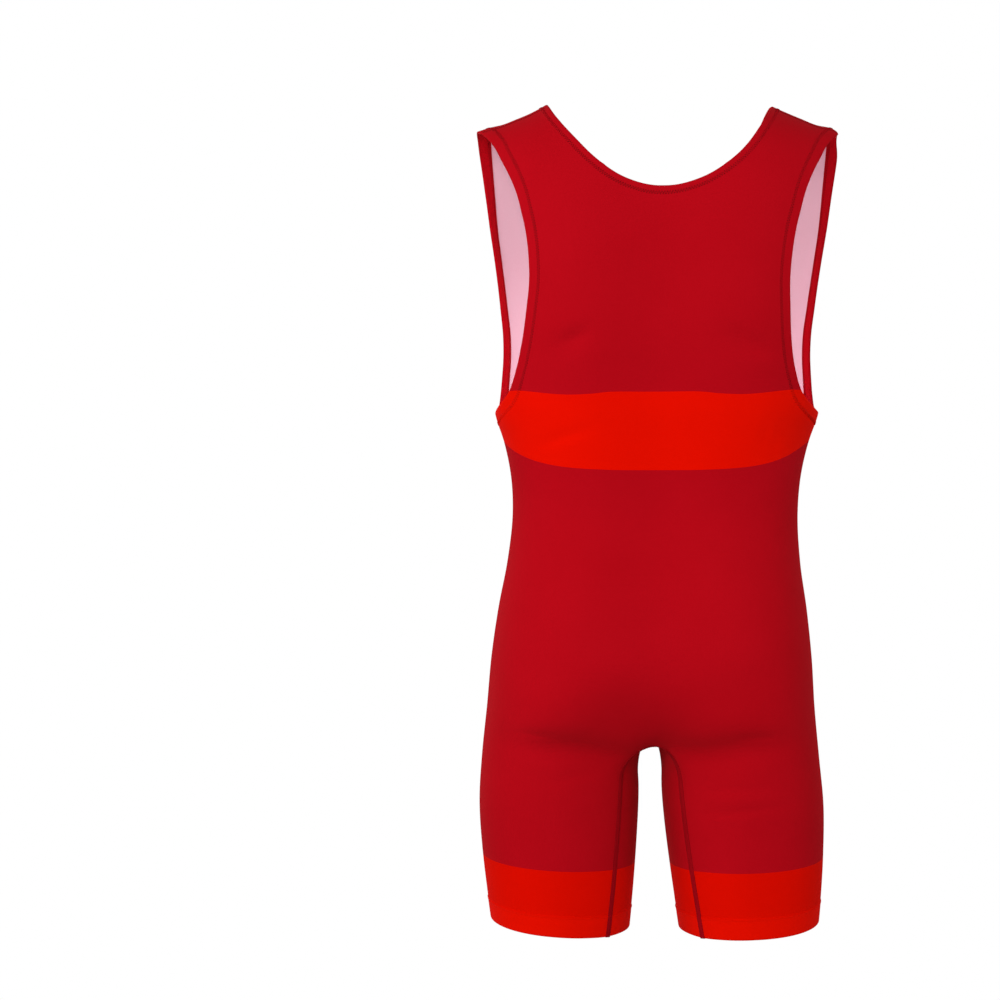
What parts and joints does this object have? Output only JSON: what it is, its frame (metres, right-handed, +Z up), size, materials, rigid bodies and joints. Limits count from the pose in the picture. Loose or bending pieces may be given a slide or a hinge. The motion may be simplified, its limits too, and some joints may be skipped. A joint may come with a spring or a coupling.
{
  "type": "wrestling singlet",
  "caption": "Sleeveless one-piece wrestling singlet with a scooped neck, deep armholes and mid-thigh legs, filled out as worn and hollow inside.",
  "frame": {"origin": "midway between the two straps, at the height where the wearer's shoulders carry them", "axes": "+Z up along the body, the garment's back faces -Y and its front +Y, +X is the wearer's right-hand side"},
  "size_m": [0.3791, 0.2303, 0.8521],
  "materials": {
    "crimson_knit": "matte",
    "scarlet_knit": "matte"
  },
  "bodies": {
    "root": {"back_panel": "crimson_knit", "front_panel": "crimson_knit", "inner_leg_gusset": "crimson_knit", "neck_hem": "crimson_knit", "armhole_hem_left": "crimson_knit", "armhole_hem_right": "crimson_knit", "leg_hem_left": "scarlet_knit", "leg_hem_right": "scarlet_knit"}
  },
  "joints": []
}
